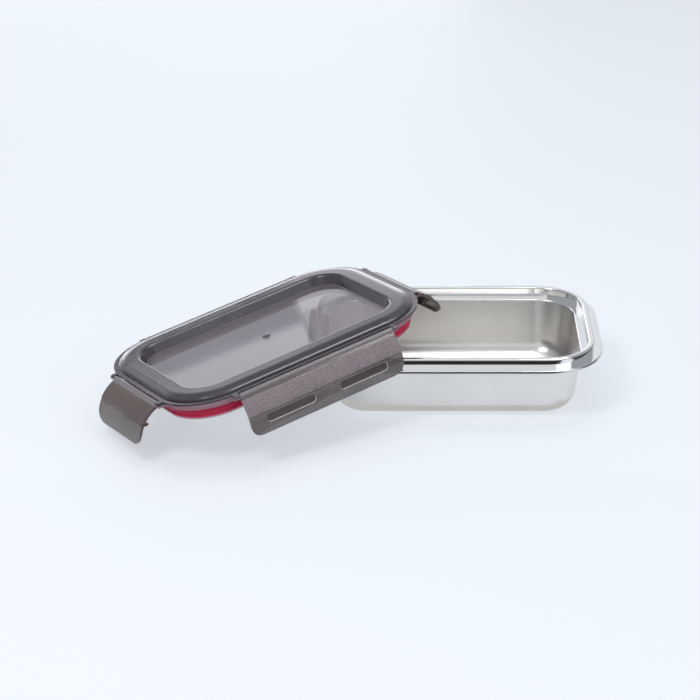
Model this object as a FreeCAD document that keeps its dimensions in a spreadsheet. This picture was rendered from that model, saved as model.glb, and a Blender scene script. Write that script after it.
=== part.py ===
import FreeCAD, Part
import Sketcher
import math
import os

os.makedirs("parts", exist_ok=True)

V = FreeCAD.Vector
doc = FreeCAD.newDocument("lunch_box")

# ---------------------------------------------------------------------------
# Driving dimensions, millimetres and degrees.
# Tub frame: origin on the table under the middle of the tub, X along the long
# side, Z up. Lid frame: origin in the middle of the lid, at the height of the
# outer top edge of its rim.
# ---------------------------------------------------------------------------
DIMS = [
    # steel tub
    ("rim_length", 178.0), ("rim_width", 123.0), ("rim_corner", 36.0),
    ("sheet", 0.6), ("wall_draft", 6.0), ("foot_fillet", 13.0),
    ("wall_inset", 12.8), ("wall_top", 36.5),
    ("flange_z", 38.2), ("lip_z", 43.7), ("lip_in", 8.5), ("lip_out", 5.0),
    ("ledge_z", 37.6), ("hem_depth", 1.6), ("lip_round", 1.1), ("ledge_round", 0.9),
    # lid frame
    ("lid_half_x", 84.0), ("lid_half_y", 56.5), ("lid_corner", 31.0),
    ("deck_under", 1.8), ("crown_z", 1.9), ("recess_in", 14.0), ("recess_foot", 16.2),
    ("shelf_out", 3.2), ("shelf_top", 1.2), ("shelf_under", 2.3),
    ("skirt_out", 0.2), ("skirt_in", 1.5), ("skirt_low", 7.0), ("skirt_roof", 2.6),
    ("window_top", 3.6), ("window_thick", 1.6), ("ledge_in", 18.3), ("ledge_under", 6.6),
    ("plug_out", 5.2), ("plug_in", 6.6), ("plug_depth", 14.5), ("plug_lip", 4.0),
    ("plug_lip_thick", 1.1), ("groove_top", 7.35), ("groove_bead", 0.9),
    ("crown_round", 2.2), ("edge_round", 0.7),
    # seal
    ("seal_face", 3.65), ("seal_rib", 0.55), ("seal_gap", 0.05),
    # hinges
    ("hinge_out", 5.0), ("hinge_down", 3.0), ("barrel_r", 1.6), ("rod_r", 0.7),
    ("rod_fit", 0.05), ("lug_r", 1.75), ("lug_width", 3.0), ("lug_gap", 0.4),
    # clips
    ("clip_long_half", 52.0), ("clip_short_half", 28.0), ("clip_r", 23.9),
    ("clip_cx", 17.8), ("clip_cz", 15.95), ("clip_thick", 1.9), ("clip_a0", 40.0),
    ("clip_step", 0.35), ("clip_step_a", 8.0), ("clip_a1", -26.5), ("bead_r", 1.35),
    ("hook_top", 13.0), ("hook_reach", 1.5), ("hook_thick", 1.9), ("tip_round", 7.8),
    ("slot_near", 8.5), ("slot_far", 41.0), ("slot_a0", 3.5), ("slot_a1", -9.5),
    ("slot_deep", 1.0), ("slot_round", 2.2), ("slot_lip", 0.4),
    # open lid: leaning position of its centre and its turn
    ("lid_x", -114.1), ("lid_y", -33.1), ("lid_z", 51.8),
    ("lid_yaw", 31.7), ("lid_pitch", 9.8), ("lid_roll", -5.93),
    # clip openings from the latched position, lid leaning
    ("open_left", 31.9), ("open_right", 33.0), ("open_front", 4.0), ("open_back", 31.9),
]
sheet = doc.addObject("Spreadsheet::Sheet", "dims")
for i, (name, value) in enumerate(DIMS):
    sheet.set("A%d" % (i + 1), name)
    sheet.set("B%d" % (i + 1), "%g" % value)
    sheet.setAlias("B%d" % (i + 1), name)
doc.recompute()
NUM = dict(DIMS)


class D:
    """A dimension: its number and the sheet expression it comes from."""

    def __init__(self, v, t):
        self.v, self.t = float(v), t

    @staticmethod
    def of(x):
        return x if isinstance(x, D) else D(x, "%.6g" % x if x >= 0 else "(%.6g)" % x)

    def __add__(self, o): o = D.of(o); return D(self.v + o.v, "(%s + %s)" % (self.t, o.t))
    def __radd__(self, o): return D.of(o) + self
    def __sub__(self, o): o = D.of(o); return D(self.v - o.v, "(%s - %s)" % (self.t, o.t))
    def __rsub__(self, o): return D.of(o) - self
    def __mul__(self, o): o = D.of(o); return D(self.v * o.v, "(%s * %s)" % (self.t, o.t))
    def __rmul__(self, o): return D.of(o) * self
    def __truediv__(self, o): o = D.of(o); return D(self.v / o.v, "(%s / %s)" % (self.t, o.t))
    def __neg__(self): return D(-self.v, "(-%s)" % self.t)


def P(name):
    return D(NUM[name], "dims.%s" % name)


def dsin(a): return D(math.sin(math.radians(a.v)), "sin(%s * 1deg)" % a.t)
def dcos(a): return D(math.cos(math.radians(a.v)), "cos(%s * 1deg)" % a.t)
def dtan(a): return D(math.tan(math.radians(a.v)), "tan(%s * 1deg)" % a.t)


def origin_plane(body, role):
    return [f for f in body.Origin.OriginFeatures if f.Role == role][0]


def new_sketch(body, role, name, offset=None):
    sk = body.newObject("Sketcher::SketchObject", name)
    sk.AttachmentSupport = [(origin_plane(body, role), "")]
    sk.MapMode = "FlatFace"
    if offset is not None:
        sk.AttachmentOffset = FreeCAD.Placement(V(0, 0, offset.v), FreeCAD.Rotation())
        sk.setExpression("AttachmentOffset.Base.z", offset.t)
    return sk


def bind(sk, kind, args, d):
    d = D.of(d)
    i = sk.addConstraint(Sketcher.Constraint(kind, *args, d.v))
    sk.setExpression("Constraints[%d]" % i, d.t)


def pin(sk, geo, pos, x, y):
    bind(sk, "DistanceX", (-1, 1, geo, pos), x)
    bind(sk, "DistanceY", (-1, 1, geo, pos), y)


def polygon(sk, pts):
    pts = [(D.of(x), D.of(y)) for x, y in pts]
    n = len(pts)
    first = sk.GeometryCount
    for i in range(n):
        a, b = pts[i], pts[(i + 1) % n]
        sk.addGeometry(Part.LineSegment(V(a[0].v, a[1].v, 0), V(b[0].v, b[1].v, 0)), False)
    for i in range(n):
        sk.addConstraint(Sketcher.Constraint("Coincident", first + i, 2, first + (i + 1) % n, 1))
    for i in range(n):
        pin(sk, first + i, 1, *pts[i])


def circle(sk, x, y, r):
    x, y, r = D.of(x), D.of(y), D.of(r)
    g = sk.addGeometry(Part.Circle(V(x.v, y.v, 0), V(0, 0, 1), r.v), False)
    pin(sk, g, 3, x, y)
    bind(sk, "Radius", (g,), r)
    return g


def sector(sk, cx, cy, r_in, r_out, a_low, a_high):
    """Closed ring sector about (cx, cy) between two radii and two angles."""
    cx, cy, r_in, r_out, a_low, a_high = [D.of(k) for k in (cx, cy, r_in, r_out, a_low, a_high)]
    geos = []
    for r in (r_out, r_in):
        c = Part.Circle(V(cx.v, cy.v, 0), V(0, 0, 1), r.v)
        geos.append(sk.addGeometry(Part.ArcOfCircle(c, math.radians(a_low.v), math.radians(a_high.v)), False))
    go, gi = geos

    def at(r, a): return cx + r * dcos(a), cy + r * dsin(a)
    lo = sk.addGeometry(Part.LineSegment(*[V(p[0].v, p[1].v, 0) for p in (at(r_in, a_low), at(r_out, a_low))]), False)
    hi = sk.addGeometry(Part.LineSegment(*[V(p[0].v, p[1].v, 0) for p in (at(r_out, a_high), at(r_in, a_high))]), False)
    for a, pa, b, pb in ((lo, 2, go, 1), (go, 2, hi, 1), (hi, 2, gi, 2), (gi, 1, lo, 1)):
        sk.addConstraint(Sketcher.Constraint("Coincident", a, pa, b, pb))
    pin(sk, go, 3, cx, cy)
    sk.addConstraint(Sketcher.Constraint("Coincident", gi, 3, go, 3))
    bind(sk, "Radius", (go,), r_out)
    bind(sk, "Radius", (gi,), r_in)
    for r, pos in ((r_out, (go, 1, a_low)), (r_out, (go, 2, a_high)), (r_in, (gi, 1, a_low)), (r_in, (gi, 2, a_high))):
        g, p, a = pos
        bind(sk, "DistanceY", (-1, 1, g, p), cy + r * dsin(a))


def rounded_rect(sk, hx, hy, r):
    """Rounded rectangle that starts in the middle of its +X side."""
    hx, hy, r = D.of(hx), D.of(hy), D.of(r)
    X, Y, R = hx.v, hy.v, r.v
    lines = [((X, 0), (X, Y - R)), ((X - R, Y), (-X + R, Y)), ((-X, Y - R), (-X, -Y + R)),
             ((-X + R, -Y), (X - R, -Y)), ((X, -Y + R), (X, 0))]
    ends = [((hx, D.of(0)), (hx, hy - r)), ((hx - r, hy), (r - hx, hy)), ((-hx, hy - r), (-hx, r - hy)),
            ((r - hx, -hy), (hx - r, -hy)), ((hx, r - hy), (hx, D.of(0)))]
    L = [sk.addGeometry(Part.LineSegment(V(a[0], a[1], 0), V(b[0], b[1], 0)), False) for a, b in lines]
    arcs = [(X - R, Y - R, 0), (-X + R, Y - R, 90), (-X + R, -Y + R, 180), (X - R, -Y + R, 270)]
    A = []
    for cx, cy, a in arcs:
        c = Part.Circle(V(cx, cy, 0), V(0, 0, 1), R)
        A.append(sk.addGeometry(Part.ArcOfCircle(c, math.radians(a), math.radians(a + 90)), False))
    for i in range(4):
        sk.addConstraint(Sketcher.Constraint("Coincident", L[i], 2, A[i], 1))
        sk.addConstraint(Sketcher.Constraint("Coincident", A[i], 2, L[i + 1], 1))
    sk.addConstraint(Sketcher.Constraint("Coincident", L[4], 2, L[0], 1))
    for i in range(5):
        pin(sk, L[i], 1, *ends[i][0])
        if i < 4:
            pin(sk, L[i], 2, *ends[i][1])
    for i in range(4):
        bind(sk, "Radius", (A[i],), r)


def set_len(feat, prop, d):
    d = D.of(d)
    setattr(feat, prop, d.v)
    feat.setExpression(prop, d.t)


def pad(body, sk, name, length, midplane=True):
    f = body.newObject("PartDesign::Pad", name)
    f.Profile = sk
    set_len(f, "Length", length)
    f.Midplane = midplane
    return f


def pocket(body, sk, name, length):
    before = body.Shape.Volume
    f = body.newObject("PartDesign::Pocket", name)
    f.Profile = sk
    set_len(f, "Length", length)
    f.Midplane = True
    doc.recompute()
    assert body.Shape.Volume < before - 0.01, name + " cuts nothing"
    return f


def fillet(body, name, edges, radius):
    f = body.newObject("PartDesign::Fillet", name)
    f.Base = (body.Tip if body.Tip != f else f.BaseFeature, edges)
    set_len(f, "Radius", radius)
    doc.recompute()
    return f


def mirror(body, name, originals, role):
    f = body.newObject("PartDesign::Mirrored", name)
    f.Originals = originals
    f.MirrorPlane = (origin_plane(body, role), [""])
    body.Tip = f
    doc.recompute()
    return f


def sd_rect(x, y, hx, hy, r):
    qx, qy = abs(x) - (hx - r), abs(y) - (hy - r)
    return math.hypot(max(qx, 0), max(qy, 0)) + min(max(qx, qy), 0) - r


def ring_edges(shape, hx, hy, r, spots, tol=0.06):
    """Names of the edges that run round the ring at the given (offset, height) spots."""
    out = []
    for i, e in enumerate(shape.Edges):
        p0, p1 = e.FirstParameter, e.LastParameter
        ps = [e.valueAt(p0 + (p1 - p0) * k) for k in (0.1, 0.5, 0.9)]
        for o, z in spots:
            if all(abs(p.z - z) < tol and abs(sd_rect(p.x, p.y, hx, hy, r) - o) < tol for p in ps):
                out.append("Edge%d" % (i + 1))
                break
    return out


def ring_pipe(body, hx, hy, r, pts):
    """A closed profile, given as (offset from the outline, height), led round a rounded rectangle."""
    path = new_sketch(body, "XY_Plane", body.Label + "_path")
    rounded_rect(path, hx, hy, r)
    prof = new_sketch(body, "XZ_Plane", body.Label + "_section")
    polygon(prof, [(hx + o, z) for o, z in pts])
    doc.recompute()
    f = body.newObject("PartDesign::AdditivePipe", body.Label + "_ring")
    f.Profile = prof
    f.Spine = path
    f.Mode = "Standard"
    f.Transition = "Transformed"
    doc.recompute()
    return f


bodies = {}


def new_body(label):
    b = doc.addObject("PartDesign::Body", label)
    b.Label = label
    bodies[label] = b
    return b


# ---------------------------------------------------------------------------
# Steel tub: drawn pan with a drafted wall, a seat ledge, a raised lip and an
# outer flange with a turned-down hem.
# ---------------------------------------------------------------------------
tub = new_body("steel_tub")
HX, HY, RC = P("rim_length") / 2, P("rim_width") / 2, P("rim_corner")
rise = P("wall_top") * dtan(P("wall_draft"))
base = new_sketch(tub, "XY_Plane", "tub_foot")
rounded_rect(base, HX - P("wall_inset") - rise, HY - P("wall_inset") - rise, RC - P("wall_inset") - rise)
doc.recompute()
pan = pad(tub, base, "tub_pan", P("wall_top"), midplane=False)
set_len(pan, "TaperAngle", P("wall_draft"))
doc.recompute()
# hollow: a second, smaller drafted block taken out of the first, one sheet inside it
draft, skin = P("wall_draft"), P("sheet")
inner = P("wall_inset") + rise - skin * dtan(draft) + skin / dcos(draft)
well = new_sketch(tub, "XY_Plane", "tub_well_outline", offset=skin)
rounded_rect(well, HX - inner, HY - inner, RC - inner)
doc.recompute()
solid_volume = tub.Shape.Volume
hollow = tub.newObject("PartDesign::Pocket", "tub_well")
hollow.Profile = well
set_len(hollow, "Length", P("wall_top"))
hollow.Reversed = True
set_len(hollow, "TaperAngle", draft)
doc.recompute()
assert tub.Shape.Volume < 0.2 * solid_volume, "the tub is not hollow"
well_edges = ["Edge%d" % (i + 1) for i, e in enumerate(tub.Shape.Edges)
              if abs(e.BoundBox.ZMin - NUM["sheet"]) < 1e-5 and abs(e.BoundBox.ZMax - NUM["sheet"]) < 1e-5]
fillet(tub, "tub_well_fillet", well_edges, P("foot_fillet") - skin)
foot_edges = ["Edge%d" % (i + 1) for i, e in enumerate(tub.Shape.Edges)
              if abs(e.BoundBox.ZMin) < 1e-5 and abs(e.BoundBox.ZMax) < 1e-5]
fillet(tub, "tub_foot_fillet", foot_edges, P("foot_fillet"))
s = P("sheet")
wi, lz, fz, gz = P("wall_inset"), P("lip_z"), P("flange_z"), P("ledge_z")
li, lo = P("lip_in"), P("lip_out")
rim_pts = [
    (-wi - s, P("wall_top") - 0.4), (-wi - s, gz - 0.2), (-li, gz), (-li, lz), (-lo, lz), (-lo, fz),
    (D.of(0), fz), (D.of(0), fz - P("hem_depth")), (-s, fz - P("hem_depth")), (-s, fz - s),
    (-lo - s, fz - s), (-lo - s, lz - s), (s - li, lz - s), (s - li, gz - s), (-wi, gz - s - 0.2),
    (-wi, P("wall_top") - 0.4),
]
ring_pipe(tub, HX, HY, RC, rim_pts)
fillet(tub, "lip_round_over", ring_edges(tub.Shape, HX.v, HY.v, RC.v, [(-NUM["lip_in"], NUM["lip_z"]), (-NUM["lip_out"], NUM["lip_z"])]), P("lip_round"))
fillet(tub, "ledge_round_over", ring_edges(tub.Shape, HX.v, HY.v, RC.v, [(-NUM["wall_inset"] - NUM["sheet"], NUM["ledge_z"] - 0.2)]), P("ledge_round"))
fillet(tub, "hem_round_over", ring_edges(tub.Shape, HX.v, HY.v, RC.v, [(0.0, NUM["flange_z"])]), P("sheet") * 0.9)

# ---------------------------------------------------------------------------
# Lid frame: crowned deck with a low shelf round it, sloped recess wall, window
# rebate, plug wall with a seal groove, and hinge lugs on all four sides.
# ---------------------------------------------------------------------------
frame = new_body("lid_frame")
LX, LY, LR = P("lid_half_x"), P("lid_half_y"), P("lid_corner")
du, cz = P("deck_under"), P("crown_z")
gt, gb = P("groove_top"), P("groove_bead")
frame_pts = [
    (P("shelf_out"), -P("shelf_under")), (P("shelf_out"), -P("shelf_top")), (D.of(0), -P("shelf_top")),
    (D.of(0), D.of(-0.3)), (D.of(-0.9), D.of(0.5)), (D.of(-5.0), cz - 0.2), (-P("recess_in") + 0.9, cz),
    (-P("recess_foot") + 0.1, -P("window_top") + 0.1), (-P("recess_foot"), -P("window_top") - P("window_thick")),
    (-P("ledge_in"), -P("window_top") - P("window_thick")), (-P("ledge_in"), -P("ledge_under")),
    (-P("recess_foot") + 2.2, -P("ledge_under")), (-P("recess_in") + 1.7, -du), (-P("plug_in"), -du),
    (-P("plug_in"), -P("plug_depth")), (-P("plug_lip"), -P("plug_depth")),
    (-P("plug_lip"), -P("plug_depth") + P("plug_lip_thick")), (-P("plug_out"), -P("plug_depth") + P("plug_lip_thick")),
    (-P("plug_out"), -gt), (-P("plug_out") + gb, -gt), (-P("plug_out") + gb, -gt + 0.9), (-P("plug_out"), -gt + 1.5),
    (-P("plug_out"), -P("skirt_roof")), (-P("skirt_in"), -P("skirt_roof")), (-P("skirt_in"), -P("skirt_low")),
    (-P("skirt_out"), -P("skirt_low")), (-P("skirt_out"), -P("shelf_under")),
]
ring_pipe(frame, LX, LY, LR, frame_pts)
fillet(frame, "crown_inner_round", ring_edges(frame.Shape, LX.v, LY.v, LR.v, [(-NUM["recess_in"] + 0.9, NUM["crown_z"])]), P("crown_round"))
fillet(frame, "crown_outer_round", ring_edges(frame.Shape, LX.v, LY.v, LR.v, [(-5.0, NUM["crown_z"] - 0.2)]), D.of(9.0))
fillet(frame, "edge_round_over", ring_edges(frame.Shape, LX.v, LY.v, LR.v, [(-0.9, 0.5), (0.0, -0.3)]), P("edge_round"))

ho, hd = P("hinge_out"), P("hinge_down")
for tag, plane, half, clip_half, back_plane in (("x", "XZ_Plane", LX, P("clip_short_half"), "YZ_Plane"),
                                                ("y", "YZ_Plane", LY, P("clip_long_half"), "XZ_Plane")):
    sk = new_sketch(frame, plane, "lug_section_" + tag)
    x0, x1 = half - 1.0, half + ho
    r = P("lug_r")
    # neck from the deck edge to the eye, closed by a half round about the hinge axis
    g0 = sk.addGeometry(Part.LineSegment(V(x1.v, (-hd + r).v, 0), V(x0.v, (-hd + r).v, 0)), False)
    g1 = sk.addGeometry(Part.LineSegment(V(x0.v, (-hd + r).v, 0), V(x0.v, (-hd - r).v, 0)), False)
    g2 = sk.addGeometry(Part.LineSegment(V(x0.v, (-hd - r).v, 0), V(x1.v, (-hd - r).v, 0)), False)
    g3 = sk.addGeometry(Part.ArcOfCircle(Part.Circle(V(x1.v, -hd.v, 0), V(0, 0, 1), r.v), -math.pi / 2, math.pi / 2), False)
    for a, pa, b, pb in ((g0, 2, g1, 1), (g1, 2, g2, 1), (g2, 2, g3, 1), (g3, 2, g0, 1)):
        sk.addConstraint(Sketcher.Constraint("Coincident", a, pa, b, pb))
    pin(sk, g3, 3, x1, -hd)
    bind(sk, "Radius", (g3,), r)
    bind(sk, "DistanceX", (-1, 1, g3, 1), x1)
    bind(sk, "DistanceX", (-1, 1, g3, 2), x1)
    sk.addConstraint(Sketcher.Constraint("Horizontal", g0))
    sk.addConstraint(Sketcher.Constraint("Horizontal", g2))
    bind(sk, "DistanceX", (-1, 1, g1, 1), x0)
    bind(sk, "DistanceX", (-1, 1, g1, 2), x0)
    circle(sk, x1, -hd, P("rod_r"))
    doc.recompute()
    lug = pad(frame, sk, "lugs_" + tag, (clip_half + P("lug_gap") + P("lug_width")) * 2)
    doc.recompute()
    cut = new_sketch(frame, plane, "lug_gap_section_" + tag)
    so, su = P("shelf_out"), -P("shelf_under")
    polygon(cut, [(half + so, D.of(3.0)), (half + 9.0, D.of(3.0)), (half + 9.0, D.of(-6.0)), (half - 1.3, D.of(-6.0)), (half - 1.3, su), (half + so, su)])
    doc.recompute()
    gap = pocket(frame, cut, "lug_gap_" + tag, (clip_half + P("lug_gap")) * 2)
    mirror(frame, "lugs_far_" + tag, [lug, gap], back_plane)

# ---------------------------------------------------------------------------
# Lid window: the thin recessed panel, with its round moulding gate in the middle.
# ---------------------------------------------------------------------------
window = new_body("lid_window")
sk = new_sketch(window, "XY_Plane", "window_outline", offset=-P("window_top") - P("window_thick"))
edge = P("recess_foot") + 0.1
rounded_rect(sk, LX - edge, LY - edge, LR - edge)
doc.recompute()
pad(window, sk, "window_panel", P("window_thick"), midplane=False)
doc.recompute()
sk = new_sketch(window, "XY_Plane", "gate_dimple_outline", offset=-P("window_top"))
circle(sk, D.of(0), D.of(0), D.of(2.6))
doc.recompute()
pocket(window, sk, "gate_dimple", D.of(1.0))
sk = new_sketch(window, "XY_Plane", "gate_nib_outline", offset=-P("window_top") - 0.6)
circle(sk, D.of(0), D.of(0), D.of(1.1))
doc.recompute()
pad(window, sk, "gate_nib", D.of(0.5), midplane=False)
doc.recompute()

# ---------------------------------------------------------------------------
# Seal: soft ring in the plug groove with two sealing ribs.
# ---------------------------------------------------------------------------
seal = new_body("lid_seal")
g = P("seal_gap")
sf, sb = P("seal_face"), P("seal_rib")
bot = -P("plug_depth") + P("plug_lip_thick") + g
top = -P("groove_top") - g
seal_pts = [
    (-P("plug_out") + g, bot), (-sf, bot), (-sf, D.of(-12.6)), (-sf + sb, D.of(-12.1)), (-sf, D.of(-11.2)),
    (-sf, D.of(-9.9)), (-sf + sb, D.of(-9.4)), (-sf, D.of(-8.5)), (-sf, top), (-P("plug_out") + g, top),
]
ring_pipe(seal, LX, LY, LR, seal_pts)

# ---------------------------------------------------------------------------
# Clips: curved flaps on a barrel, with a stepped lower band, a bead along the
# tip and a hook rib inside. Modelled latched, barrel axis on the body's Y axis,
# outside towards +X.
# ---------------------------------------------------------------------------
def make_clip(label, half, slots):
    b = new_body(label)
    cx, cy, R, T = -P("clip_cx"), -P("clip_cz"), P("clip_r"), P("clip_thick")
    sk = new_sketch(b, "XZ_Plane", label + "_upper_section")
    sector(sk, cx, cy, R - T, R, P("clip_step_a"), P("clip_a0"))
    doc.recompute()
    pad(b, sk, label + "_upper", half * 2)
    sk = new_sketch(b, "XZ_Plane", label + "_lower_section")
    sector(sk, cx, cy, R - T, R - P("clip_step"), P("clip_a1"), P("clip_step_a"))
    doc.recompute()
    pad(b, sk, label + "_lower", half * 2)
    doc.recompute()
    # rounded lower corners
    tipx, tipz = (cx + R * dcos(P("clip_a1"))).v, (cy + R * dsin(P("clip_a1"))).v
    names = []
    for i, e in enumerate(b.Shape.Edges):
        bb = e.BoundBox
        if abs(bb.YMax - bb.YMin) < 1e-6 and abs(abs(bb.YMax) - half.v) < 1e-6 and e.Length < 2.5 and bb.ZMax < tipz + 2.2:
            names.append("Edge%d" % (i + 1))
    fillet(b, label + "_corners", names, P("tip_round"))
    sk = new_sketch(b, "XZ_Plane", label + "_barrel_section")
    circle(sk, D.of(0), D.of(0), P("barrel_r"))
    doc.recompute()
    pad(b, sk, label + "_barrel", half * 2)
    doc.recompute()
    # bead inside the tip, between the rounded corners
    rm = R - T + 0.35
    sk = new_sketch(b, "XZ_Plane", label + "_bead_section")
    ba = P("clip_a1") + 2.6
    circle(sk, cx + rm * dcos(ba), cy + rm * dsin(ba), P("bead_r"))
    doc.recompute()
    pad(b, sk, label + "_bead", (half - P("tip_round")) * 2)
    doc.recompute()
    # hook rib that snaps under the flange
    ht, hk = -P("hook_top"), P("hook_thick")
    sk = new_sketch(b, "XZ_Plane", label + "_hook_section")
    polygon(sk, [(D.of(4.9), ht), (-P("hook_reach"), ht), (-P("hook_reach"), ht - hk * 0.45), (D.of(-0.6), ht - hk), (D.of(4.9), ht - hk - 1.6)])
    doc.recompute()
    pad(b, sk, label + "_hook", (half - P("tip_round") + 2.0) * 2)
    doc.recompute()
    if slots:
        mid = (P("slot_near") + P("slot_far")) / 2
        sk = new_sketch(b, "XZ_Plane", label + "_slot_section", offset=mid)
        sector(sk, cx, cy, R - P("clip_step") - P("slot_deep"), R + 1.0, P("slot_a1"), P("slot_a0"))
        doc.recompute()
        sl = pocket(b, sk, label + "_slot", P("slot_far") - P("slot_near"))
        mirror(b, label + "_slot_twin", [sl], "XZ_Plane")
        rf = (R - P("clip_step") - P("slot_deep")).v
        names = []
        for i, e in enumerate(b.Shape.Edges):
            m = e.valueAt((e.FirstParameter + e.LastParameter) / 2)
            rr = math.hypot(m.x - cx.v, m.z - cy.v)
            ends = min(abs(abs(m.y) - NUM["slot_near"]), abs(abs(m.y) - NUM["slot_far"]))
            if e.Length < 1.3 and ends < 1e-3 and rf < rr < R.v:
                names.append("Edge%d" % (i + 1))
        fillet(b, label + "_slot_ends", names, P("slot_round"))
        # softened mouth of the recesses
        ro = (R - P("clip_step")).v
        names = []
        for i, e in enumerate(b.Shape.Edges):
            ps = [e.valueAt(e.FirstParameter + (e.LastParameter - e.FirstParameter) * k) for k in (0.05, 0.5, 0.95)]
            if all(abs(math.hypot(p.x - cx.v, p.z - cy.v) - ro) < 0.02
                   and NUM["slot_near"] - 0.05 < abs(p.y) < NUM["slot_far"] + 0.05
                   and NUM["slot_a1"] - 0.3 < math.degrees(math.atan2(p.z - cy.v, p.x - cx.v)) < NUM["slot_a0"] + 0.3 for p in ps):
                names.append("Edge%d" % (i + 1))
        fillet(b, label + "_slot_mouth", names, P("slot_lip"))
    sk = new_sketch(b, "XZ_Plane", label + "_bore_section")
    circle(sk, D.of(0), D.of(0), P("rod_r") + P("rod_fit"))
    doc.recompute()
    pocket(b, sk, label + "_bore", half * 2 + 2.0)
    return b


clips = {
    "clip_left": make_clip("clip_left", P("clip_short_half"), False),
    "clip_right": make_clip("clip_right", P("clip_short_half"), False),
    "clip_front": make_clip("clip_front", P("clip_long_half"), True),
    "clip_back": make_clip("clip_back", P("clip_long_half"), True),
}

# ---------------------------------------------------------------------------
# Hinge rods: plain round rods through each clip's barrel, held in the lugs.
# ---------------------------------------------------------------------------
rods = {}
for side, half in (("left", "clip_short_half"), ("right", "clip_short_half"), ("front", "clip_long_half"), ("back", "clip_long_half")):
    rod = doc.addObject("Part::Cylinder", "hinge_rod_" + side)
    rod.Label = "hinge_rod_" + side
    rod.setExpression("Radius", "dims.rod_r")
    rod.setExpression("Height", "(dims.%s + dims.lug_gap + dims.lug_width) * 2" % half)
    rods[side] = rod
doc.recompute()

# ---------------------------------------------------------------------------
# Places. The lid leans on the tub; each clip hangs from its hinge.
# ---------------------------------------------------------------------------
rot = (FreeCAD.Rotation(V(0, 0, 1), NUM["lid_yaw"]) * FreeCAD.Rotation(V(0, 1, 0), -NUM["lid_pitch"])
       * FreeCAD.Rotation(V(1, 0, 0), NUM["lid_roll"]))
lid = FreeCAD.Placement(V(NUM["lid_x"], NUM["lid_y"], NUM["lid_z"]), rot)
for b in (frame, window, seal):
    b.Placement = lid
SIDES = {"right": 0.0, "back": 90.0, "left": 180.0, "front": 270.0}
for side, turn in SIDES.items():
    half = NUM["lid_half_x"] if side in ("left", "right") else NUM["lid_half_y"]
    at = FreeCAD.Rotation(V(0, 0, 1), turn)
    axis = FreeCAD.Placement(at.multVec(V(half + NUM["hinge_out"], 0, -NUM["hinge_down"])), at)
    swing = FreeCAD.Placement(V(0, 0, 0), FreeCAD.Rotation(V(0, 1, 0), -NUM["open_" + side]))
    clips["clip_" + side].Placement = lid * axis * swing
    length = rods[side].Height.Value
    lay = FreeCAD.Placement(V(0, length / 2, 0), FreeCAD.Rotation(V(1, 0, 0), 90))
    rods[side].Placement = lid * axis * lay
doc.recompute()

# ---------------------------------------------------------------------------
# Every object must have recomputed, and every piece must be one valid solid.
# ---------------------------------------------------------------------------
bad = [o.Name for o in doc.Objects if "Invalid" in o.State or "Error" in o.State]
assert not bad, "failed objects: %s" % bad
pieces = dict(bodies)
pieces.update({"hinge_rod_" + k: r for k, r in rods.items()})
for label, obj in pieces.items():
    sh = obj.Shape
    assert not sh.isNull() and sh.isValid(), label
    assert len(sh.Solids) == 1, "%s has %d solids" % (label, len(sh.Solids))
for label, obj in pieces.items():
    obj.Shape.exportStep("parts/%s.step" % label)
    bb = obj.Shape.BoundBox
    print("%-16s %8.0f mm3  x %.1f..%.1f  y %.1f..%.1f  z %.1f..%.1f" % (
        label, obj.Shape.Volume, bb.XMin, bb.XMax, bb.YMin, bb.YMax, bb.ZMin, bb.ZMax))
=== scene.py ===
import math

import bpy
from mathutils import Euler, Matrix, Vector

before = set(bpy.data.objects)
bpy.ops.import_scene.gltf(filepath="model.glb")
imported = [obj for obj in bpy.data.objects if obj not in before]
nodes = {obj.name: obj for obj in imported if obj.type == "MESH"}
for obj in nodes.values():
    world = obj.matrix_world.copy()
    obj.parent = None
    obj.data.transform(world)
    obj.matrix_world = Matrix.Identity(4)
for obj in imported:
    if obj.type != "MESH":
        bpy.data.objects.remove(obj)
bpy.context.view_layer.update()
scene = bpy.context.scene

# ---------------------------------------------------------------------------
# Camera: long lens, about 24 degrees above the table, square frame of 700.
# ---------------------------------------------------------------------------
ELEV, FOCAL_PX, DIST = math.radians(24.26), 2425.0, 1.4913
LOOK = Vector((-0.0554, 0.0, 0.0271))
forward = Vector((0.0, math.cos(ELEV), -math.sin(ELEV)))
cam_data = bpy.data.cameras.new("camera")
cam = bpy.data.objects.new("camera", cam_data)
scene.collection.objects.link(cam)
cam.location = LOOK - forward * DIST
cam.rotation_euler = Euler((math.pi / 2 - ELEV, 0.0, 0.0))
cam_data.sensor_fit = "HORIZONTAL"
cam_data.sensor_width = 36.0
cam_data.lens = FOCAL_PX / 700.0 * 36.0
cam_data.shift_x = (350.0 - 363.2) / 700.0
cam_data.shift_y = -0.006
cam_data.clip_start, cam_data.clip_end = 0.05, 50.0
scene.camera = cam


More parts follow.
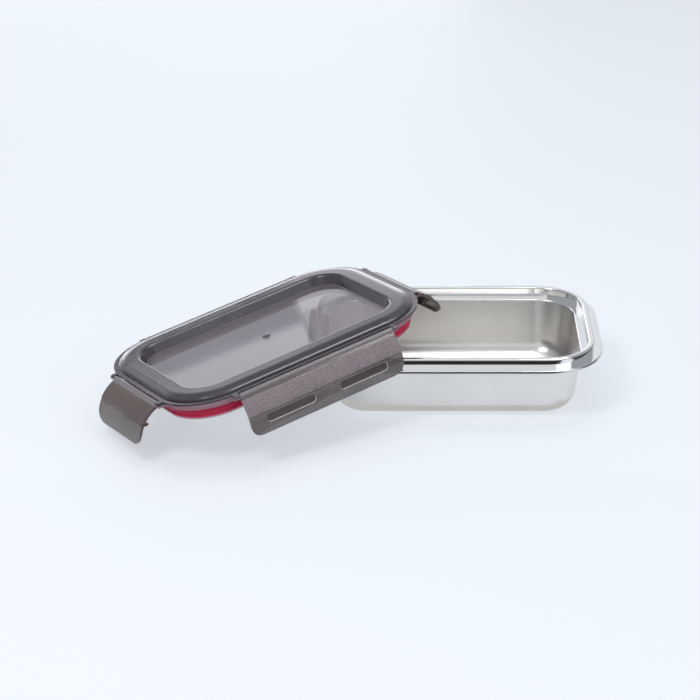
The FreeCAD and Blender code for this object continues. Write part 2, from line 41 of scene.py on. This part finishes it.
# ---------------------------------------------------------------------------
# Node helpers
# ---------------------------------------------------------------------------
class Mat:
    def __init__(self, name):
        self.m = bpy.data.materials.new(name)
        self.m.use_nodes = True
        self.t = self.m.node_tree
        self.t.nodes.clear()
        self.out = self.t.nodes.new("ShaderNodeOutputMaterial")
        self.bsdf = self.t.nodes.new("ShaderNodeBsdfPrincipled")
        self.t.links.new(self.bsdf.outputs[0], self.out.inputs[0])
        self.obj = self.t.nodes.new("ShaderNodeTexCoord").outputs["Object"]

    def put(self, **values):
        for k, v in values.items():
            self.bsdf.inputs[k.replace("_", " ")].default_value = v

    def new(self, kind, **props):
        n = self.t.nodes.new(kind)
        for k, v in props.items():
            setattr(n, k, v)
        return n

    def link(self, a, b):
        self.t.links.new(a, b)

    def scaled(self, vec, s):
        n = self.new("ShaderNodeVectorMath", operation="MULTIPLY")
        self.link(vec, n.inputs[0])
        n.inputs[1].default_value = s
        return n.outputs[0]

    def along(self, origin, axis):
        """Distance from a plane through origin, along axis, in the object's own coordinates."""
        s = self.new("ShaderNodeVectorMath", operation="SUBTRACT")
        self.link(self.obj, s.inputs[0])
        s.inputs[1].default_value = origin
        d = self.new("ShaderNodeVectorMath", operation="DOT_PRODUCT")
        self.link(s.outputs[0], d.inputs[0])
        d.inputs[1].default_value = axis
        return d.outputs["Value"]

    def noise(self, scale, detail=3.0, rough=0.5, vec=None):
        n = self.new("ShaderNodeTexNoise")
        n.inputs["Scale"].default_value = scale
        n.inputs["Detail"].default_value = detail
        n.inputs["Roughness"].default_value = rough
        self.link(vec if vec is not None else self.obj, n.inputs["Vector"])
        return n.outputs["Fac"]

    def remap(self, v, a, b, c, d, smooth=False):
        n = self.new("ShaderNodeMapRange")
        n.interpolation_type = "SMOOTHSTEP" if smooth else "LINEAR"
        self.link(v, n.inputs["Value"])
        for i, k in zip(("From Min", "From Max", "To Min", "To Max"), (a, b, c, d)):
            n.inputs[i].default_value = k
        return n.outputs["Result"]

    def math(self, op, a, b):
        n = self.new("ShaderNodeMath", operation=op)
        for i, k in enumerate((a, b)):
            if isinstance(k, (int, float)):
                n.inputs[i].default_value = k
            else:
                self.link(k, n.inputs[i])
        return n.outputs[0]

    def mix(self, fac, a, b):
        n = self.new("ShaderNodeMix", data_type="RGBA")
        self.link(fac, n.inputs["Factor"])
        for name, k in (("A", a), ("B", b)):
            sock = [s for s in n.inputs if s.name == name and s.type == "RGBA"][0]
            if isinstance(k, tuple):
                sock.default_value = k if len(k) == 4 else k + (1.0,)
            else:
                self.link(k, sock)
        return [s for s in n.outputs if s.type == "RGBA"][0]

    def mixf(self, fac, a, b):
        n = self.new("ShaderNodeMix", data_type="FLOAT")
        self.link(fac, n.inputs["Factor"])
        for name, k in (("A", a), ("B", b)):
            sock = [s for s in n.inputs if s.name == name and s.type == "VALUE"][0]
            if isinstance(k, (int, float)):
                sock.default_value = k
            else:
                self.link(k, sock)
        return [s for s in n.outputs if s.type == "VALUE"][0]

    def bump(self, height, strength, distance):
        n = self.new("ShaderNodeBump")
        n.inputs["Strength"].default_value = strength
        n.inputs["Distance"].default_value = distance
        self.link(height, n.inputs["Height"])
        self.link(n.outputs[0], self.bsdf.inputs["Normal"])

    def to(self, sock, value):
        self.link(value, self.bsdf.inputs[sock])


def dress(node, mat):
    o = nodes[node]
    o.data.materials.clear()
    o.data.materials.append(mat.m)


# ---------------------------------------------------------------------------
# Where the lid and its clips stand, in metres (as built).
# ---------------------------------------------------------------------------
LID = (Matrix.Translation((-0.1141, -0.0331, 0.0518)) @ Matrix.Rotation(math.radians(31.7), 4, "Z")
       @ Matrix.Rotation(math.radians(-9.8), 4, "Y") @ Matrix.Rotation(math.radians(-5.93), 4, "X"))
SIDES = {"right": (0.0, 0.0840, 33.0), "back": (90.0, 0.0565, 31.9), "left": (180.0, 0.0840, 31.9), "front": (270.0, 0.0565, 4.0)}

# ---------------------------------------------------------------------------
# Steel: satin drawn wall with faint draw lines, polished rim.
# ---------------------------------------------------------------------------
def steel():
    m = Mat("satin_steel")
    m.put(Metallic=1.0, IOR=2.5)
    z = m.along((0, 0, 0), (0, 0, 1))
    rim = m.remap(z, 0.0366, 0.0376, 0.0, 1.0, smooth=True)
    lines = m.noise(1.0, 4.0, 0.6, vec=m.scaled(m.obj, (60.0, 60.0, 2600.0)))
    fine = m.noise(900.0, 2.0, 0.5)
    cloud = m.noise(22.0, 2.0, 0.5)
    tone = m.mix(m.remap(cloud, 0.35, 0.7, 0.0, 1.0), (0.735, 0.725, 0.708), (0.785, 0.775, 0.757))
    m.to("Base Color", m.mix(rim, tone, (0.86, 0.87, 0.885)))
    satin = m.remap(lines, 0.3, 0.7, 0.27, 0.33)
    gloss = m.remap(cloud, 0.3, 0.7, 0.045, 0.09)
    m.to("Roughness", m.mixf(rim, satin, gloss))
    grain = m.math("ADD", m.math("MULTIPLY", lines, 0.7), m.math("MULTIPLY", fine, 0.3))
    keep = m.math("SUBTRACT", 1.0, m.math("MULTIPLY", rim, 0.93))
    m.bump(m.math("MULTIPLY", grain, keep), 0.035, 0.0004)
    return m


# ---------------------------------------------------------------------------
# Lid frame: dark smoked moulding with a soft polish and faint flow marks.
# ---------------------------------------------------------------------------
def smoke_frame():
    m = Mat("smoked_frame")
    m.put(IOR=1.5)
    up = (LID.to_3x3() @ Vector((0, 0, 1))).normalized()
    low = m.remap(m.along(LID.translation, up), -0.0034, -0.0029, 1.0, 0.0, smooth=True)
    # only the thin wall round the outside, not the recess: distance out from the middle of the corner rounds
    rot = LID.to_3x3()
    qx = m.math("MAXIMUM", m.math("SUBTRACT", m.math("ABSOLUTE", m.along(LID.translation, rot @ Vector((1, 0, 0))), 0.0), 0.0530), 0.0)
    qy = m.math("MAXIMUM", m.math("SUBTRACT", m.math("ABSOLUTE", m.along(LID.translation, rot @ Vector((0, 1, 0))), 0.0), 0.0255), 0.0)
    reach = m.math("SQRT", m.math("ADD", m.math("MULTIPLY", qx, qx), m.math("MULTIPLY", qy, qy)), 0.0)
    low = m.math("MULTIPLY", low, m.remap(reach, 0.0215, 0.0225, 0.0, 1.0))
    m.to("Alpha", m.remap(low, 0.0, 1.0, 0.94, 0.50))
    flow = m.noise(38.0, 4.0, 0.55)
    fine = m.noise(1400.0, 2.0, 0.5)
    m.to("Base Color", m.mix(low, m.mix(m.remap(flow, 0.35, 0.68, 0.0, 1.0), (0.060, 0.051, 0.062), (0.090, 0.077, 0.092)), (0.56, 0.335, 0.415)))
    m.to("Roughness", m.math("ADD", m.remap(flow, 0.3, 0.7, 0.17, 0.25), m.remap(fine, 0.3, 0.7, 0.0, 0.05)))
    m.bump(m.math("ADD", m.math("MULTIPLY", fine, 0.4), m.noise(160.0, 2.0, 0.5)), 0.008, 0.0003)
    m.put(Coat_Weight=0.35, Coat_Roughness=0.12)
    return m


def smoke_window():
    m = Mat("smoked_window")
    m.put(IOR=1.5)
    flow = m.noise(14.0, 3.0, 0.5)
    fine = m.noise(1200.0, 2.0, 0.5)
    r = m.new("ShaderNodeVectorMath", operation="DISTANCE")
    m.link(m.obj, r.inputs[0])
    r.inputs[1].default_value = LID @ Vector((0, 0, -0.0036))
    gate = m.remap(r.outputs["Value"], 0.0021, 0.0030, 1.0, 0.0, smooth=True)
    body = m.mix(m.remap(flow, 0.35, 0.68, 0.0, 1.0), (0.265, 0.232, 0.268), (0.315, 0.278, 0.316))
    m.to("Base Color", m.mix(gate, body, (0.020, 0.014, 0.011)))
    m.to("Alpha", m.remap(gate, 0.0, 1.0, 0.62, 0.97))
    m.to("Roughness", m.math("ADD", m.remap(flow, 0.3, 0.7, 0.028, 0.05), m.remap(fine, 0.3, 0.7, 0.0, 0.006)))
    m.bump(m.noise(24.0, 1.0, 0.5), 0.006, 0.0004)
    m.put(Coat_Weight=0.5, Coat_Roughness=0.04)
    return m


def silicone():
    m = Mat("crimson_silicone")
    m.put(IOR=1.42, Roughness=0.42)
    soft = m.noise(45.0, 3.0, 0.5)
    fine = m.noise(1700.0, 2.0, 0.5)
    m.to("Base Color", m.mix(m.remap(soft, 0.35, 0.68, 0.0, 1.0), (0.56, 0.010, 0.062), (0.66, 0.018, 0.082)))
    m.to("Roughness", m.math("ADD", m.remap(soft, 0.3, 0.7, 0.34, 0.44), m.remap(fine, 0.3, 0.7, 0.0, 0.06)))
    m.bump(fine, 0.06, 0.0002)
    m.put(Subsurface_Weight=0.15, Subsurface_Scale=0.002)
    m.bsdf.inputs["Subsurface Radius"].default_value = (1.0, 0.2, 0.2)
    return m


def clip_frame(side):
    turn, half, opened = SIDES[side]
    at = Matrix.Rotation(math.radians(turn), 4, "Z")
    return LID @ at @ Matrix.Translation((half + 0.0050, 0, -0.0030)) @ Matrix.Rotation(math.radians(-opened), 4, "Y")


def smoke_clip(side, warm):
    m = Mat("smoked_clip_" + side)
    m.put(IOR=1.5)
    f = clip_frame(side)
    up = (f.to_3x3() @ Vector((0, 0, 1))).normalized()
    z = m.along(f.translation, up)
    # frosted above the step at 12.6 mm below the barrel, polished under it
    frost = m.math("MULTIPLY", m.remap(z, -0.0132, -0.0124, 0.0, 1.0, smooth=True), m.remap(z, -0.0030, -0.0022, 1.0, 0.0, smooth=True))
    grain = m.noise(2300.0, 2.0, 0.6)
    speck = m.noise(1100.0, 2.0, 0.5)
    flow = m.noise(55.0, 3.0, 0.5)
    dark, pale = ((0.090, 0.060, 0.052), (0.138, 0.095, 0.083)) if warm else ((0.120, 0.096, 0.094), (0.180, 0.148, 0.146))
    tone = m.mix(m.remap(flow, 0.35, 0.68, 0.0, 1.0), dark, pale)
    rough_tone = m.mix(m.remap(grain, 0.40, 0.66, 0.0, 1.0), tone, (0.46, 0.375, 0.42) if not warm else (0.18, 0.135, 0.125))
    # painted highlight: a lighter band along the top of the clip's hinge barrel, standing in for the bright ridge
    # line the light draws there
    painted_barrel_highlight = m.remap(z, -0.0022, -0.0012, 0.0, 1.0, smooth=True)
    body = m.mix(painted_barrel_highlight, m.mix(frost, tone, rough_tone), (0.30, 0.27, 0.285))
    clear = m.remap(frost, 0.0, 1.0, 0.74, 0.91) if not warm else m.remap(frost, 0.0, 1.0, 0.80, 0.88)
    if not warm:
        # the two recesses in the polished band: painted shade darkens the recess floor, painted highlight lightens
        # the recess walls
        rot = f.to_3x3()
        x = m.math("ADD", m.along(f.translation, rot @ Vector((1, 0, 0))), 0.0178)
        h = m.math("ADD", z, 0.01595)
        r = m.math("SQRT", m.math("ADD", m.math("MULTIPLY", x, x), m.math("MULTIPLY", h, h)), 0.0)
        y = m.math("ABSOLUTE", m.along(f.translation, rot @ Vector((0, 1, 0))), 0.0)
        inside = m.math("MULTIPLY", m.remap(z, -0.0206, -0.0204, 0.0, 1.0), m.remap(z, -0.0140, -0.0138, 1.0, 0.0))
        inside = m.math("MULTIPLY", inside, m.math("MULTIPLY", m.remap(y, 0.0080, 0.0082, 0.0, 1.0), m.remap(y, 0.0413, 0.0415, 1.0, 0.0)))
        # painted highlight: pale tone on the recess walls, standing in for reflections on their lips
        painted_wall_highlight = m.math("MULTIPLY", m.remap(r, 0.02262, 0.02275, 0.0, 1.0), m.remap(r, 0.02346, 0.02352, 1.0, 0.0))
        painted_wall_highlight = m.math("MULTIPLY", painted_wall_highlight, inside)
        # painted shade: darker tone on the recess floors; both painted marks are also made less see-through
        painted_floor_shade = m.math("MULTIPLY", m.math("MULTIPLY", m.remap(r, 0.02235, 0.02245, 0.0, 1.0), m.remap(r, 0.02262, 0.02275, 1.0, 0.0)), inside)
        body = m.mix(painted_wall_highlight, m.mix(painted_floor_shade, body, (0.105, 0.086, 0.081)), (0.60, 0.58, 0.57))
        clear = m.math("ADD", clear, m.math("MULTIPLY", m.math("ADD", painted_wall_highlight, painted_floor_shade), 0.20))
    m.to("Base Color", body)
    m.to("Alpha", clear)
    m.to("Roughness", m.mixf(frost, m.remap(flow, 0.3, 0.7, 0.07, 0.14), m.remap(speck, 0.3, 0.7, 0.26, 0.46)))
    h = m.math("ADD", m.math("MULTIPLY", grain, 0.8), m.math("MULTIPLY", speck, 0.3))
    low = m.noise(120.0, 2.0, 0.5)
    keep = m.math("ADD", m.math("MULTIPLY", frost, 0.94), 0.06)
    m.bump(m.math("ADD", m.math("MULTIPLY", h, keep), m.math("MULTIPLY", low, 0.03)), 0.55 if not warm else 0.30, 0.00035)
    m.put(Coat_Weight=0.3, Coat_Roughness=0.06)
    return m


def rod_plastic():
    m = Mat("rod_plastic")
    m.put(IOR=1.5, Roughness=0.25)
    n = m.noise(700.0, 3.0, 0.5)
    m.to("Base Color", m.mix(m.remap(n, 0.35, 0.68, 0.0, 1.0), (0.045, 0.040, 0.046), (0.075, 0.068, 0.076)))
    m.to("Roughness", m.remap(n, 0.3, 0.7, 0.18, 0.32))
    m.bump(n, 0.05, 0.0002)
    return m


dress("steel_tub", steel())
dress("lid_frame", smoke_frame())
dress("lid_window", smoke_window())
dress("lid_seal", silicone())
for side in SIDES:
    dress("clip_" + side, smoke_clip(side, warm=side in ("left", "right")))
rod = rod_plastic()
for side in SIDES:
    dress("hinge_rod_" + side, rod)

# ---------------------------------------------------------------------------
# Stage: pale floor and soft studio light.
# ---------------------------------------------------------------------------
bpy.ops.mesh.primitive_plane_add(size=8.0, location=(0, 0, -0.0002))
floor = bpy.context.object
floor.name = "floor"
fm = Mat("pale_floor")
fm.put(Roughness=0.7, IOR=1.3)
fm.bsdf.inputs["Base Color"].default_value = (0.60, 0.632, 0.67, 1.0)
fm.bsdf.inputs["Emission Color"].default_value = (0.90, 0.945, 1.0, 1.0)
fm.bsdf.inputs["Emission Strength"].default_value = 0.50
floor.data.materials.append(fm.m)


def card(name, size, loc, look, colour, strength):
    """A flat reflector that only shows in glossy surfaces."""
    bpy.ops.mesh.primitive_plane_add(size=1.0, location=loc)
    o = bpy.context.object
    o.name = name
    o.scale = (size[0], size[1], 1.0)
    d = (Vector(look) - Vector(loc)).normalized()
    o.rotation_euler = d.to_track_quat("Z", "Y").to_euler()
    c = Mat(name + "_mat")
    c.put(Roughness=1.0)
    c.bsdf.inputs["Base Color"].default_value = (0.0, 0.0, 0.0, 1.0)
    c.bsdf.inputs["Specular IOR Level"].default_value = 0.0
    c.bsdf.inputs["Emission Color"].default_value = colour + (1.0,)
    c.bsdf.inputs["Emission Strength"].default_value = strength
    o.data.materials.append(c.m)
    o.visible_camera = o.visible_diffuse = o.visible_shadow = o.visible_transmission = False
    return o


def softbox(name, loc, look, size, power, colour=(1, 1, 1)):
    l = bpy.data.lights.new(name, "AREA")
    l.shape = "RECTANGLE"
    l.size, l.size_y = size
    l.energy = power
    l.color = colour
    o = bpy.data.objects.new(name, l)
    scene.collection.objects.link(o)
    o.location = loc
    o.rotation_euler = (Vector(look) - Vector(loc)).to_track_quat("-Z", "Y").to_euler()
    return o


mid = (-0.06, -0.01, 0.03)
softbox("key", (-0.45, -0.60, 0.95), mid, (0.28, 0.28), 2.6)
softbox("fill", (0.75, -0.75, 0.65), mid, (0.7, 0.7), 1.4)
softbox("top", (0.0, 0.10, 1.3), mid, (0.9, 0.6), 2.0)
card("back_panel_left", (0.36, 0.36), (-0.454, 0.90, 0.599), (-0.454, 0.0, 0.599), (0.96, 0.95, 1.0), 1.6)
card("back_panel_hinge", (0.26, 0.22), (-0.820, 0.88, 0.560), (-0.190, -0.08, 0.036), (1.0, 0.97, 0.94), 1.1)
card("back_panel_mid", (0.21, 0.30), (-0.164, 0.90, 0.561), (-0.164, 0.0, 0.561), (0.97, 0.96, 1.0), 0.95)
card("back_dark", (0.34, 0.155), (-0.444, 0.90, 0.3385), (-0.444, 0.0, 0.3385), (0.9, 0.85, 0.95), 0.06)
card("back_panel_right", (0.26, 0.22), (-0.139, 0.90, 0.298), (-0.139, 0.0, 0.298), (0.96, 0.95, 1.0), 1.8)
card("back_panel_wide", (0.80, 0.40), (0.36, 1.00, 0.48), (0.36, 0.0, 0.48), (0.95, 0.97, 1.0), 0.85)
card("back_panel_low", (0.90, 0.22), (-0.40, 0.95, 0.13), (-0.40, 0.0, 0.13), (0.97, 0.97, 1.0), 3.2)
card("front_panel", (1.8, 0.60), (0.0, -1.70, 0.95), (0.0, 0.0, 0.04), (1.0, 0.99, 0.98), 0.85)
card("right_panel", (0.44, 0.44), (0.34, -0.13, 1.00), (-0.06, -0.05, 0.04), (1.0, 0.98, 0.97), 6.5)
card("dark_front", (1.2, 0.26), (0.0, -0.25, 0.004), (0.0, -0.25, 1.0), (1.0, 1.0, 1.0), 0.025)
card("dark_right", (0.26, 0.30), (0.275, -0.02, 0.004), (0.275, -0.02, 1.0), (1.0, 1.0, 1.0), 0.06)
card("foot_shade", (0.150, 0.096), (0.0, 0.0, 0.0006), (0.0, 0.0, 1.0), (1.0, 0.99, 0.98), 0.62)

world = bpy.data.worlds.new("studio")
world.use_nodes = True
bg = world.node_tree.nodes["Background"]
bg.inputs["Color"].default_value = (0.92, 0.955, 1.0, 1.0)
bg.inputs["Strength"].default_value = 0.42
scene.world = world
scene.view_settings.view_transform = "Standard"
scene.view_settings.look = "None"
